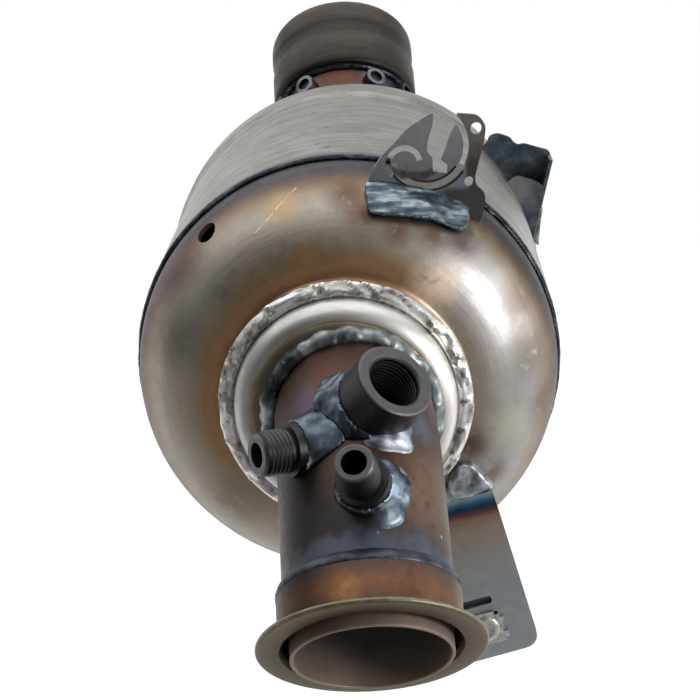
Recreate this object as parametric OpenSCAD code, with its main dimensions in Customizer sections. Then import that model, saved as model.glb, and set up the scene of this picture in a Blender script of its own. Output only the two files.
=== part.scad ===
// Diesel particulate filter: round can, domed ends, sloping inlet socket and outlet elbow.
// Millimetres. Y runs along the can from the outlet to the inlet, Z is up, X is to the right.
// The origin is the centre of the inlet socket's mouth.

/* [Can] */
// Outside diameter of the can
can_d = 156; // [140:1:176]
// Length of the can
can_len = 137; // [120:1:200]
// Sheet thickness of the can, domes and cones
sheet_t = 1.5; // [1:0.1:2]

/* [Filter] */
// Thickness of the support mat round the filter brick
mat_t = 4; // [3:0.5:6]
// Width of one square channel
cell_w = 7; // [5:0.5:9]
// Thickness of the walls between channels
cell_wall = 2.6; // [2:0.2:4]
// Length of the plug that closes every second channel
plug_len = 10; // [6:1:16]

/* [Outlet end] */
// Straight part of the dome in front of the can
dome_base = 6; // [4:0.5:10]
// Radius of the dome's lip round the foil
lip_r = 42.3; // [41:0.1:45]
// Length of the dome's lip
lip_len = 5; // [4:0.5:9]
// Outside radius of the inner cone's neck
neck_r = 38.5; // [37:0.1:39.5]
// Rounding of the collar in front of the foil
collar_round = 13; // [12:0.5:14]

/* [Outlet pipe] */
// Outside diameter of the elbow
pipe_d = 54; // [50:1:54]
// Wall of the elbow
pipe_t = 1.5; // [1.2:0.1:2]
// Bend radius of the elbow's centre line
bend_r = 52; // [48:1:70]
// Bend angle of the elbow
bend_a = 40.4; // [30:0.2:50]
// Sideways offset of the elbow from the can's axis
pipe_side = 3; // [0:0.5:4]
// Sideways swing of the elbow
pipe_swing = 5; // [-8:0.5:8]
// Distance along the straight leg to the flange face
flange_at = 55; // [50:1:70]
// Outside diameter of the flange
flange_d = 72; // [66:1:78]
// Length of the sleeve behind the flange face
sleeve_len = 17; // [14:0.5:20]
// Length of the liner in front of the flange face
liner_out = 3; // [2:0.5:12]

/* [Ports] */
// Outside diameter of the sensor boss
boss_d = 26; // [22:0.5:30]
// Bore of the sensor boss
boss_bore = 17; // [14:0.1:18]
// Height of the sensor boss
boss_len = 15; // [12:0.5:20]
// Outside diameter of the threaded union
union_d = 14; // [12:0.5:16]
// Length of the threaded union
union_len = 16; // [12:0.5:22]
// Outside diameter of the plain pressure stub
stub_d = 12.5; // [10:0.5:14]
// Length of the plain pressure stub
stub_len = 22; // [16:0.5:26]

/* [Brackets] */
// Sheet thickness of the clip bracket
clip_t = 1.5; // [1:0.1:2]
// Distance of the clip bracket in front of the can
clip_at = 22; // [18:0.5:24]
// Turn of the clip bracket
clip_turn = 9; // [0:0.5:12]
// Width of the support plate
plate_w = 34; // [30:0.5:38]
// Thickness of the support plate
plate_t = 2; // [1.5:0.1:3]
// Lean of the support plate
plate_lean = 17; // [10:0.5:24]

/* [Inlet end] */
// Upward slope of the inlet
inlet_slope = 40; // [30:0.5:46]
// Turn of the inlet round the can
inlet_turn = 6; // [-15:0.5:15]
// Outside diameter of the inlet neck
inlet_d = 59; // [54:1:62]
// Distance along the inlet to the socket's foot
socket_at = 85; // [80:0.5:96]
// Outside diameter of the socket
socket_d = 68.6; // [66:0.2:74]
// Length of the socket
socket_len = 39; // [36:0.5:52]
// Depth of the socket above the neck's end
socket_depth = 16; // [12:0.5:20]

/* [Hidden] */
$fn = 144;
can_r = can_d / 2;
dome_r = can_r - sheet_t;
cone_r = dome_r - sheet_t;
dome_q = dome_r - lip_r;
dome_h = dome_base + dome_q;
lip_end = dome_h + lip_len;
cone_q = cone_r - neck_r;
cone_base = -4;
lap = 12;
brick_r = dome_r - mat_t;
brick_len = can_len - 26;
cell_p = cell_w + cell_wall;
cell_n = floor(brick_r / cell_p);
collar_at = lip_end + 0.3;
collar_end = collar_at + collar_round;
pipe_r = pipe_d / 2;
pipe_ri = pipe_r - pipe_t;
bend_at = collar_end + 3;
leg_y = -bend_r * (1 - cos(bend_a));
leg_h = bend_at + bend_r * sin(bend_a);
join_len = 1;
join_step = 0.03;
leg_r = pipe_r + join_step;
sleeve_t = 2;
flange_r = flange_d / 2;
sleeve_at = flange_at - sleeve_len;
elbow_end = sleeve_at + 8;
liner_r = pipe_ri - join_step;
liner_t = 1.2;
inlet_r = inlet_d / 2;
inlet_from = 23;
neck_under = 18;
socket_r = socket_d / 2;
socket_clear = 0.5;
skirt_r = can_r + sheet_t;
in_flat = 44;
in_q = skirt_r - in_flat;
in_base = 2;
in_h = in_base + in_q;
neck_top = socket_at + socket_len - socket_depth;
mouth = socket_at + socket_len;
clip_foot = sqrt(dome_q * dome_q - (clip_at - dome_base) * (clip_at - dome_base)) + lip_r;
clip_dr = clip_foot - 72.5;
clip_mid = 25;
plate_mid = 22;
plate_top = lip_r + 5.7;
plate_end = 111;
nut_at = 99;
nut_w = 11;
plate_h = dome_h + 1.5;
origin_y = can_len + inlet_from + mouth * cos(inlet_slope);
origin_x = -mouth * sin(inlet_slope) * sin(inlet_turn);
origin_z = mouth * sin(inlet_slope) * cos(inlet_turn);

// Points of an arc from angle a0 to a1
function arc(c, r, a0, a1, n = 12) =
    [for (i = [0:n]) c + r * [cos(a0 + (a1 - a0) * i / n), sin(a0 + (a1 - a0) * i / n)]];

// Outline with each corner cut by a curve that starts d from it
function unit(v) = v / norm(v);
function softened(p, d, n = 5) = [for (k = [0:len(p) - 1])
    let (a = p[(k + len(p) - 1) % len(p)], b = p[k], c = p[(k + 1) % len(p)])
    let (e = min(d, norm(a - b) / 2.1, norm(c - b) / 2.1))
    let (s = b + e * unit(a - b), f = b + e * unit(c - b))
    for (i = [0:n]) let (t = i / n) (1 - t) * (1 - t) * s + 2 * t * (1 - t) * b + t * t * f];

// Frames
module placed() { translate([-origin_x, -origin_y, -origin_z]) children(); }
module outlet() { placed() rotate([90, 0, 0]) children(); }
module inlet() { placed() translate([0, can_len, 0]) rotate([-90, 0, 0]) children(); }
module bend_plane() {
    outlet() translate([pipe_side, 0, bend_at]) rotate([0, pipe_swing, 0])
        translate([0, 0, -bend_at]) children();
}
module leg() { bend_plane() translate([0, leg_y, leg_h]) rotate([bend_a, 0, 0]) children(); }
module on_bend(a, roll) {
    bend_plane() translate([0, -bend_r, bend_at]) rotate([a, 0, 0]) translate([0, bend_r, 0])
        rotate([0, 0, -roll]) rotate([-90, 0, 0]) translate([0, 0, pipe_r]) children();
}
module on_leg(s, roll) {
    leg() translate([0, 0, s]) rotate([0, 0, -roll]) rotate([-90, 0, 0])
        translate([0, 0, pipe_r]) children();
}
module boss_frame() { on_bend(28.1, 8.2) rotate([7.2, 17.2, 0]) children(); }
module union_frame() { on_bend(35.8, -45.3) rotate([18.9, -26.3, 0]) children(); }
module stub_frame() { on_leg(13.3, -1) rotate([6.4, -11.5, 0]) children(); }
module neck_axis() {
    inlet() rotate([0, 0, -inlet_turn]) translate([0, 0, inlet_from])
        rotate([inlet_slope, 0, 0]) children();
}
module plate_frame() { outlet() rotate([0, 0, plate_lean]) children(); }

module ring(ro, ri, h) {
    difference() {
        cylinder(r = ro, h = h);
        translate([0, 0, -1]) cylinder(r = ri, h = h + 2);
    }
}
module ring_2d(ro, ri) {
    difference() {
        circle(ro);
        circle(ri);
    }
}
module quarter_2d(r, t) {
    intersection() {
        ring_2d(r, r - t);
        square(r + 1);
    }
}

// Solids that the pieces are fitted to
module dome_solid(grow = 0) {
    rotate_extrude() intersection() {
        union() {
            translate([0, -lap]) square([dome_r + grow, lap + dome_base]);
            square([lip_r, dome_h + grow]);
            translate([lip_r, dome_base]) circle(dome_q + grow);
        }
        translate([0, -lap]) square([can_r * 2, lap + dome_h + grow + 1]);
    }
}
module pipe_bend() {
    bend_plane() translate([0, -bend_r, bend_at]) rotate([90, 0, 90])
        rotate_extrude(angle = bend_a) translate([bend_r, 0]) circle(pipe_r);
}
module pipe_leg() { leg() translate([0, 0, -join_len]) cylinder(r = leg_r, h = flange_at + join_len); }
module inlet_solid(grow = 0) {
    rotate_extrude() intersection() {
        union() {
            translate([0, -lap]) square([skirt_r + grow, lap + in_base]);
            square([in_flat, in_h + grow]);
            translate([in_flat, in_base]) circle(in_q + grow);
        }
        translate([0, -lap]) square([can_r * 2, lap + in_h + grow + 1]);
    }
}

module can_shell() {
    color("silver") outlet() mirror([0, 0, 1]) ring(can_r, dome_r, can_len);
}

module channels(odd) {
    for (i = [-cell_n:cell_n], j = [-cell_n:cell_n])
        if ((i + j + 2 * cell_n) % 2 == odd && norm([abs(i) + 0.5, abs(j) + 0.5]) * cell_p < brick_r)
            translate([i * cell_p - cell_w / 2, j * cell_p - cell_w / 2]) square(cell_w);
}

module filter_brick() {
    color("dimgray") outlet() translate([0, 0, -can_len / 2 - brick_len / 2]) difference() {
        cylinder(r = brick_r, h = brick_len);
        translate([0, 0, plug_len]) linear_extrude(brick_len) channels(0);
        translate([0, 0, -plug_len]) linear_extrude(brick_len) channels(1);
    }
}

module support_mat() {
    color("ivory") outlet() translate([0, 0, -can_len + lap + 4])
        ring(dome_r, brick_r, can_len - 2 * lap - 8);
}

module mat_seal() { ring(dome_r, brick_r, 4); }
module outlet_mat_seal() { color("gray") outlet() translate([0, 0, -lap - 4]) mat_seal(); }
module inlet_mat_seal() { color("gray") outlet() translate([0, 0, -can_len + lap]) mat_seal(); }

module outlet_dome() {
    color("rosybrown") outlet() difference() {
        rotate_extrude() {
            translate([cone_r, -lap]) square([sheet_t, lap + dome_base]);
            translate([lip_r, dome_base]) quarter_2d(dome_q, sheet_t);
            translate([lip_r - sheet_t, dome_h - sheet_t]) square([sheet_t, lip_len + sheet_t]);
            translate([lip_r - 0.1, dome_h - 0.4]) difference() {
                square(2.6);
                translate([2.6, 2.9]) circle(2.5);
            }
        }
        rotate([0, 0, 132]) translate([dome_r - 20, 0, 20.3]) rotate([0, 90, 0]) cylinder(r = 4, h = 30);
    }
}

module outlet_rim_weld() {
    color("dimgray") outlet() rotate_extrude()
        polygon([[dome_r, 0], [can_r, 0], [can_r - 0.1, 0.9], [can_r - 0.6, 1.9], [dome_r, 2.8]]);
}

foil_n = 112;
foil_in = neck_r / cos(180 / foil_n);
foil_j = rands(-1, 1, foil_n * 8, 7);
// Section of the foil ring: radius, height, and how far each may be crumpled
foil_s = [[foil_in, dome_h, 0, 0], [lip_r - sheet_t, dome_h, 0, 0],
    [lip_r - sheet_t, lip_end + 0.2, 0, 0], [lip_r + 1.6, lip_end + 0.7, 0.7, 0.5],
    [lip_r + 2.2, lip_end + 2, 0.8, 0.7], [lip_r + 0.2, lip_end + 3.7, 0.8, 0.8],
    [neck_r + 1.8, lip_end + 3.6, 0.5, 0.9], [foil_in, lip_end + 1.8, 0, 0.5]];

module outlet_foil() {
    m = len(foil_s);
    pts = [for (i = [0:foil_n - 1], k = [0:m - 1])
        let (a = 360 * (i + 0.5) / foil_n, s = foil_s[k])
        let (r = s[0] + s[2] * foil_j[i * m + k], h = s[1] + s[3] * foil_j[(i * m + k + 5) % (foil_n * m)])
        [r * cos(a), r * sin(a), h]];
    tri = [for (i = [0:foil_n - 1], k = [0:m - 1])
        let (a = i * m + k, b = i * m + (k + 1) % m)
        let (c = ((i + 1) % foil_n) * m + (k + 1) % m, d = ((i + 1) % foil_n) * m + k)
        for (f = [[a, b, c], [a, c, d]]) f];
    color("whitesmoke") outlet() polyhedron(pts, tri);
}

module outlet_cone() {
    color("gainsboro") difference() {
        outlet() rotate_extrude() {
            translate([cone_r - sheet_t, -lap]) square([sheet_t, lap + cone_base]);
            translate([neck_r, cone_base]) quarter_2d(cone_q, sheet_t);
            translate([neck_r - sheet_t, cone_base + cone_q - sheet_t])
                square([sheet_t, collar_at - cone_base - cone_q + sheet_t]);
            translate([neck_r - collar_round, collar_at]) quarter_2d(collar_round, sheet_t);
        }
        bend_plane() translate([0, 0, collar_at]) cylinder(r = pipe_r, h = 40);
    }
}

module neck_weld() {
    color("slategray") difference() {
        bend_plane() translate([0, 0, collar_end]) rotate_extrude()
            polygon([[pipe_r, -4], [pipe_r + 3.6, -4], [pipe_r + 3.4, 0.6], [pipe_r + 2.4, 2], [pipe_r, 2.7]]);
        outlet() rotate_extrude() union() {
            square([neck_r - collar_round, collar_end]);
            translate([neck_r - collar_round, collar_at]) intersection() {
                circle(collar_round);
                square(50);
            }
        }
    }
}

module pipe_bores() {
    boss_frame() translate([0, 0, -10]) cylinder(d = boss_bore, h = 20);
    union_frame() translate([0, 0, -12]) cylinder(d = union_d - 6, h = 20);
    stub_frame() translate([0, 0, -10]) cylinder(d = stub_d - 4.5, h = 20);
}

module outlet_elbow() {
    color("sienna") difference() {
        union() {
            bend_plane() translate([0, 0, collar_end - 4]) ring(pipe_r, pipe_ri, 4 + bend_at - collar_end);
            bend_plane() translate([0, -bend_r, bend_at]) rotate([90, 0, 90])
                rotate_extrude(angle = bend_a) translate([bend_r, 0]) ring_2d(pipe_r, pipe_ri);
            leg() translate([0, 0, -join_len]) ring(leg_r, liner_r, elbow_end + join_len);
        }
        pipe_bores();
    }
}

module seam_weld() {
    color("slategray") leg() rotate_extrude()
        polygon([[leg_r, sleeve_at - 4.5], [leg_r + 1, sleeve_at - 3.4], [leg_r + 1.9, sleeve_at - 1.8],
            [leg_r + sleeve_t, sleeve_at], [leg_r, sleeve_at]]);
}

module outlet_flange() {
    color("peru") leg() rotate_extrude() difference() {
        union() {
            translate([leg_r, sleeve_at]) square([sleeve_t, sleeve_len]);
            translate([leg_r, flange_at - 2]) square([flange_r - leg_r - 1, 2]);
            translate([flange_r - 1, flange_at - 1]) circle(1);
            translate([leg_r + sleeve_t - 0.1, flange_at - 5]) difference() {
                square([3.1, 3.1]);
                translate([3.1, 0]) circle(3);
            }
        }
        translate([leg_r - 1, flange_at - 4])
            polygon([[0, 0], [1, 0], [1.6, 2.4], [2.6, 4], [2.6, 5], [0, 5]]);
    }
}

module outlet_liner() {
    color("saddlebrown") leg() translate([0, 0, sleeve_at - 8]) rotate_extrude() {
        translate([liner_r - liner_t, 0]) square([liner_t, 8 + sleeve_len + liner_out - liner_t / 2]);
        translate([liner_r - liner_t / 2, 8 + sleeve_len + liner_out - liner_t / 2]) circle(liner_t / 2);
    }
}

module sensor_boss() {
    color("dimgray") difference() {
        boss_frame() translate([0, 0, -8]) rotate_extrude() difference() {
            square([boss_d / 2, boss_len + 8]);
            translate([boss_d / 2 - 1, boss_len + 7]) difference() {
                square(1.1);
                circle(1);
            }
            square([boss_bore / 2, 60]);
            translate([0, boss_len + 7])
                polygon([[0, 0], [boss_bore / 2, 0], [boss_bore / 2 + 1.1, 1.1], [0, 2]]);
        }
        pipe_bend();
        pipe_leg();
    }
}
module ring_cone(r, spread, h) {
    difference() {
        cylinder(r1 = r + spread, r2 = r, h = h);
        translate([0, 0, -1]) cylinder(r = r, h = h + 2);
    }
}
module sensor_boss_weld() {
    color("slategray") difference() {
        boss_frame() translate([0, 0, -8]) ring_cone(boss_d / 2, 4.4, 10);
        pipe_bend();
        pipe_leg();
        union_frame() translate([0, 0, -9]) cylinder(r1 = union_d / 2 + 6, r2 = union_d / 2 + 1.5, h = 12);
    }
}

module pressure_union() {
    color("dimgray") difference() {
        union_frame() translate([0, 0, -8]) rotate_extrude() difference() {
            union() {
                square([union_d / 2 + 1.5, 13]);
                square([union_d / 2, union_len + 8]);
            }
            translate([union_d / 2 - 1, union_len + 8]) polygon([[0, 0], [1.1, -1.1], [1.1, 0.1], [0, 0.1]]);
            square([union_d / 2 - 3, 60]);
        }
        pipe_bend();
        pipe_leg();
    }
}
module pressure_union_weld() {
    color("slategray") difference() {
        union_frame() translate([0, 0, -9]) ring_cone(union_d / 2 + 1.5, 4.5, 12);
        pipe_bend();
        pipe_leg();
    }
}

module pressure_stub() {
    color("gray") difference() {
        stub_frame() translate([0, 0, -6]) rotate_extrude() difference() {
            union() {
                square([stub_d / 2 + 2, 13]);
                square([stub_d / 2, stub_len + 6]);
            }
            translate([stub_d / 2 - 0.8, stub_len + 6]) polygon([[0, 0], [0.9, -0.9], [0.9, 0.1], [0, 0.1]]);
            square([stub_d / 2 - 2.25, 60]);
        }
        pipe_bend();
        pipe_leg();
    }
}
module pressure_stub_weld() {
    color("slategray") difference() {
        stub_frame() translate([0, 0, -8]) ring_cone(stub_d / 2 + 2, 5.5, 12);
        pipe_bend();
        pipe_leg();
    }
}

// Clip bracket, drawn across the can's axis
module annular_cut(c, r, w, a0, a1) {
    polygon(concat(arc(c, r + w / 2, a0, a1, 24), arc(c, r - w / 2, a1, a0, 24)));
}
clip_outline = [[-18.2, 57.2], [-17.7, 71.1], [-16, 76.6], [-12.4, 82.3], [-7.9, 86.6], [-3.3, 91.6],
    [4.9, 96.5], [13.5, 96], [21.3, 95.2], [24, 91.2], [23.2, 85.2], [21.9, 80.3], [20.3, 73.7],
    [20.5, 70.9], [24, 67.6], [24, 62.6], [19.3, 49.7], [-5.1, 50.7]];
clip_key = [[5.4, 99.2], [5.3, 92.6], [3.5, 86.8], [3.2, 82.9], [5.2, 81], [5.3, 75.9], [10.6, 75.1],
    [10.9, 77.9], [8.2, 79.8], [9.6, 82.9], [11.3, 88.5], [13.5, 92.4], [14.2, 99]];
clip_bead = [[7.2, 76], [7.4, 66], [8.4, 64.3], [14.7, 63.6], [20.6, 62.8], [25.7, 62.1], [29.2, 61.7],
    [32, 60.4], [34.4, 59.2], [37.9, 57.8], [40.3, 57.2], [41.8, 57.6], [42.6, 59], [43, 66], [26, 76]];
module clip_frame() {
    outlet() translate([clip_mid, clip_dr, clip_at]) rotate([0, clip_turn, 0]) children();
}
module clip_2d() {
    difference() {
        polygon(softened(clip_outline, 2));
        polygon(softened(clip_key, 0.9));
        annular_cut([3.5, 84.5], 13.6, 2.2, 58, -28);
        annular_cut([3.5, 84.5], 15.2, 0.9, -35, -142);
        annular_cut([3.5, 84.5], 12, 0.9, -35, -118);
        annular_cut([-4.7, 78.9], 5.6, 2, 222, 12);
        translate([-5.8, 77.6]) circle(2.1);
        translate([20.5, 90.5]) circle(2.1);
        translate([18.2, 72]) circle(1.7);
    }
}
module clip_bracket() {
    color("thistle") difference() {
        clip_frame() translate([0, 0, -clip_t]) linear_extrude(clip_t) clip_2d();
        outlet() dome_solid();
    }
}
module clip_bracket_weld() {
    color("lightsteelblue") difference() {
        intersection() {
            outlet() dome_solid(2.4);
            outlet() translate([0, clip_dr, 0]) linear_extrude(dome_h) polygon(clip_bead);
        }
        outlet() dome_solid();
        clip_frame() translate([-60, 0, -60]) cube([120, 120, 60]);
    }
}

// Side bracket on the right of the can
side_near = 104;
side_depth = 12;
side_far = side_near + side_depth;
side_edge = [[83.2, 53.5], [75.8, 18.6]];
module side_sheet(y, t, p) {
    outlet() translate([can_r - 78, 0, -y - t]) linear_extrude(t) difference() {
        polygon(softened(p, 1.2));
        translate([78 - can_r, 0]) circle(can_r);
    }
}
module side_bracket() {
    color("midnightblue") union() {
        side_sheet(side_far, 1.5, [[50, 52], [56.4, 58.8], [57.4, 61.6], [60.7, 62.6], [66, 60.8], [67.6, 58.6],
            [69.4, 57.6], [71.8, 58.2], [79.4, 56], [82, 55.4], side_edge[0], side_edge[1], [60, 18.6]]);
        side_sheet(side_near, 1.5, [[60, 40], [66, 45.6], [68.5, 46.8], [76.5, 44.6], [80.6, 41.4],
            side_edge[1], [60, 18.6]]);
        outlet() translate([can_r - 78, 0, -side_far - 1.5])
            linear_extrude(side_depth + 1.5) difference() {
                polygon([side_edge[0] - [1.5, 0], side_edge[0], side_edge[1], side_edge[1] - [1.5, 0]]);
                translate([78 - can_r, 0]) circle(can_r);
            }
    }
}
module side_bracket_weld() {
    color("slategray") outlet() translate([can_r - 78, 0, -side_far]) linear_extrude(side_depth - 0.5)
        difference() {
            polygon([[70, 18.6], side_edge[1], [78.3, 16.4], [78, 22], [79.2, 33]]);
            polygon([side_edge[0], side_edge[1], [60, 18.6], [60, 53.5]]);
            translate([78 - can_r, 0]) circle(can_r);
        }
}

// Support plate with its cage nut, drawn with Y pointing towards the can's axis
module plate_2d() {
    difference() {
        polygon(softened([[plate_mid - plate_w / 2, -plate_top], [plate_mid + plate_w / 2, -plate_top],
            [plate_mid + plate_w / 2, -plate_end], [plate_mid - plate_w / 2, -plate_end]], 6));
        translate([plate_mid - nut_w / 2, -nut_at - nut_w / 2]) square(nut_w);
        polygon(softened([[plate_mid - 13, -87], [plate_mid + 5, -87],
            [plate_mid + 5, -90], [plate_mid - 13, -90]], 1.4));
    }
}
module support_plate() {
    color("lightslategray") plate_frame() difference() {
        translate([0, 0, plate_h - plate_t]) linear_extrude(plate_t) plate_2d();
        dome_solid();
    }
}
module support_plate_weld() {
    color("cadetblue") plate_frame() difference() {
        intersection() {
            dome_solid(5);
            linear_extrude(plate_h + 0.8) translate([plate_mid, -plate_top])
                polygon(softened([[-12, 0], [plate_w / 2, 0], [plate_w / 2 - 0.6, 3], [plate_w / 2 - 2, 7],
                    [13.5, 11], [9, 12.5], [4.5, 10], [2, 5.5], [-3, 3]], 1));
        }
        dome_solid();
    }
}
module cage_nut() {
    color("linen") plate_frame() translate([plate_mid, -nut_at, 0]) difference() {
        union() {
            translate([0, 0, plate_h]) cylinder(r = 6.2, h = 1);
            translate([0, 0, plate_h - plate_t]) linear_extrude(plate_t)
                polygon([[-5.5, -3.2], [-3.2, -5.5], [3.2, -5.5], [5.5, -3.2],
                    [5.5, 3.2], [3.2, 5.5], [-3.2, 5.5], [-5.5, 3.2]]);
            translate([0, 0, plate_h - plate_t - 6]) cylinder(r = 7.5, h = 6);
        }
        translate([0, 0, plate_h - plate_t - 7]) cylinder(r = 2.6, h = 20);
    }
}

module inlet_dome() {
    color("silver") difference() {
        inlet() rotate_extrude() {
            translate([can_r, -lap]) square([sheet_t, lap + in_base]);
            translate([in_flat, in_base]) quarter_2d(in_q, sheet_t);
            translate([0, in_h - sheet_t]) square([in_flat, sheet_t]);
        }
        neck_axis() translate([0, 0, -neck_under]) cylinder(r = inlet_r - sheet_t, h = 200);
    }
}
module inlet_cone() {
    color("gainsboro") difference() {
        inlet() rotate_extrude() {
            translate([dome_r - sheet_t, -lap]) square([sheet_t, lap]);
            translate([in_flat, 0]) quarter_2d(dome_r - in_flat, sheet_t);
            translate([0, dome_r - in_flat - sheet_t]) square([in_flat, sheet_t]);
        }
        neck_axis() translate([0, 0, -40]) cylinder(r = inlet_r + 2, h = 200);
    }
}
module inlet_rim_weld() {
    color("gray") inlet() translate([0, 0, -lap]) rotate_extrude()
        polygon([[can_r, -1.4], [can_r, 0], [skirt_r - 0.2, 0], [can_r + 0.6, -0.9]]);
}

plug_at = socket_at - 9;
plug_r = 4.6;
plug_out = 5.5;
plug_turns = [-151, -119, -61, -29, 29, 61, 119, 151];
module inlet_neck() {
    color("rosybrown") difference() {
        union() {
            neck_axis() translate([0, 0, -neck_under]) cylinder(r = inlet_r, h = neck_top + neck_under);
            for (a = plug_turns) neck_axis() translate([0, 0, plug_at]) rotate([0, 0, a])
                rotate([90, 0, 0]) translate([0, 0, inlet_r - 4]) cylinder(r = plug_r, h = plug_out + 4);
        }
        neck_axis() translate([0, 0, -neck_under - 1])
            cylinder(r = inlet_r - sheet_t, h = neck_top + neck_under + 2);
        for (a = plug_turns) neck_axis() translate([0, 0, plug_at]) rotate([0, 0, a])
            rotate([90, 0, 0]) translate([0, 0, inlet_r + plug_out - 1.8]) cylinder(r = plug_r - 1.6, h = 4);
        inlet() inlet_solid();
    }
}
module inlet_neck_weld() {
    color("slategray") difference() {
        intersection() {
            neck_axis() cylinder(r = inlet_r + 2.6, h = 120);
            inlet() inlet_solid(2.6);
        }
        inlet() inlet_solid();
        neck_axis() translate([0, 0, -60]) cylinder(r = inlet_r, h = 200);
    }
}
module inlet_collar() {
    color("dimgray") neck_axis() translate([0, 0, socket_at]) rotate_extrude() difference() {
        union() {
            square([socket_r - 3.4, socket_len]);
            translate([0, 1.5]) square([socket_r, socket_len - 6.5]);
            square([socket_r - 1.5, 4]);
            translate([socket_r - 1.5, 1.5]) circle(1.5);
            translate([socket_r - 5, socket_len - 5]) quarter_2d(5, 5);
        }
        translate([-1, -1]) square([inlet_r + 1, socket_len + 2]);
        translate([-1, socket_len - socket_depth]) square([inlet_r + socket_clear + 1, socket_depth + 2]);
        translate([socket_r - 0.6, socket_len - 21]) square([2, 8]);
    }
}
module inlet_collar_weld() {
    color("slategray") neck_axis() translate([0, 0, socket_at]) rotate_extrude()
        polygon([[inlet_r, 0], [inlet_r + 2.4, 0], [inlet_r + 1.6, -1.2], [inlet_r, -2]]);
}

can_shell();
filter_brick();
support_mat();
outlet_mat_seal();
inlet_mat_seal();
outlet_dome();
outlet_rim_weld();
outlet_foil();
outlet_cone();
neck_weld();
outlet_elbow();
seam_weld();
outlet_flange();
outlet_liner();
sensor_boss();
sensor_boss_weld();
pressure_union();
pressure_union_weld();
pressure_stub();
pressure_stub_weld();
clip_bracket();
clip_bracket_weld();
side_bracket();
side_bracket_weld();
support_plate();
support_plate_weld();
cage_nut();
inlet_dome();
inlet_cone();
inlet_rim_weld();
inlet_neck();
inlet_neck_weld();
inlet_collar();
inlet_collar_weld();
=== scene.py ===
"""Finishes and fine shapes of a diesel particulate filter, built round its solids."""

import math

import bpy
import numpy as np
from mathutils import Matrix, Vector, noise


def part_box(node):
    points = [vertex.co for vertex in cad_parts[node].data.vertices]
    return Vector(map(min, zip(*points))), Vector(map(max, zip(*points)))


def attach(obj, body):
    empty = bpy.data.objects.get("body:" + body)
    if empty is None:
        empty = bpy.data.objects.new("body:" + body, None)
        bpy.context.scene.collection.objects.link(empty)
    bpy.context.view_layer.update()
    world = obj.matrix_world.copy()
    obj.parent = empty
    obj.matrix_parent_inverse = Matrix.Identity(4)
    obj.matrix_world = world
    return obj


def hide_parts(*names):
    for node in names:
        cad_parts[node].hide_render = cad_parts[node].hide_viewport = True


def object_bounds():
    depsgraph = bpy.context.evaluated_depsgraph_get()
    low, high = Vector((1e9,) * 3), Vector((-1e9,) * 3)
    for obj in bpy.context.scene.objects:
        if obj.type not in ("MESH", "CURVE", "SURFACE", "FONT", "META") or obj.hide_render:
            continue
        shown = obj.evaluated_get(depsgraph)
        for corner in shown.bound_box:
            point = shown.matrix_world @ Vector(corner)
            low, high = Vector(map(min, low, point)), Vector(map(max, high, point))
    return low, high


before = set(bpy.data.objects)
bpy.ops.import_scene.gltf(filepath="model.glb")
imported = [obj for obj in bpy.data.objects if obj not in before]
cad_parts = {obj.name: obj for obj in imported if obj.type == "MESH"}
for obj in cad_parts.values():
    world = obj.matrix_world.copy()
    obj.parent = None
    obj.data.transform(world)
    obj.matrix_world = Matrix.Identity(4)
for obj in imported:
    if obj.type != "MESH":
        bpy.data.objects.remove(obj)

bl_info = {
    "name": "Exhaust Filter Finishes",
    "version": (1, 0, 0),
    "blender": (4, 5, 0),
    "location": "3D View > Sidebar > Filter",
    "description": "Heat-tinted steel, weld beads, foil and threads of a diesel particulate filter",
    "category": "Object",
}

MM = 0.001
SOFTEN_PULL = 0.6
SEED_STEP = 7.3
FLOOR_HALF = 30.0
FLOOR_CORNERS = ((-1, -1), (1, -1), (1, 1), (-1, 1))
AREA_LIGHTS = (
    ("key", (52, 14, 1.3), 0.26, 0.42),
    ("fill", (-70, 24, 1.4), 0.5, 0.8),
    ("side", (86, 10, 1.4), 0.5, 0.9),
)
TOP_PLACE = (-150, 68, 2.0)
TOP_SPREAD = 100
SKY_COLOUR = (0.99, 1.0, 1.0, 1.0)
DIM_SIDE = (-0.78, -0.62, 0.0)
SENSOR_WIDTH = 36.0
CAMERA_PLACE = (0.023813, -0.888432, 0.129058)
CAMERA_RIGHT = Vector((0.9997416, 0.0205372, -0.0097425))
CAMERA_UP = Vector((0.0029783, 0.3065583, 0.9518472))
CAD_BOX = [list(corner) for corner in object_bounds()]
CAN_LOW, CAN_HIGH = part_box("can_shell")


# Places on the part, in the axes that its solids were drawn in


def shift(x, y, z):
    return Matrix.Translation(Vector((x, y, z)) * MM)


def turn(x=0.0, y=0.0, z=0.0):
    spin = Matrix.Identity(4)
    for angle, axis in ((z, "Z"), (y, "Y"), (x, "X")):
        spin = spin @ Matrix.Rotation(math.radians(angle), 4, axis)
    return spin


BEND_AT = 61.5
BEND_R = 52.0
BEND_A = 40.4
PIPE_R = 27.0
LIP_R = 42.3
DOME_BASE = 6.0
CAN = Matrix.Translation(((CAN_LOW.x + CAN_HIGH.x) / 2, CAN_LOW.y, (CAN_LOW.z + CAN_HIGH.z) / 2))
OUTLET = CAN @ turn(90)
BEND = OUTLET @ shift(3, 0, BEND_AT) @ turn(0, 5) @ shift(0, 0, -BEND_AT)
BEND_BACK = BEND_R * (1 - math.cos(math.radians(BEND_A)))
BEND_RISE = BEND_R * math.sin(math.radians(BEND_A))
LEG = BEND @ shift(0, -BEND_BACK, BEND_AT + BEND_RISE) @ turn(BEND_A)


def on_bend(angle, roll):
    ring = BEND @ shift(0, -BEND_R, BEND_AT) @ turn(angle) @ shift(0, BEND_R, 0)
    return ring @ turn(0, 0, -roll) @ turn(-90) @ shift(0, 0, PIPE_R)


def on_leg(along, roll):
    return LEG @ shift(0, 0, along) @ turn(0, 0, -roll) @ turn(-90) @ shift(0, 0, PIPE_R)


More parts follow.
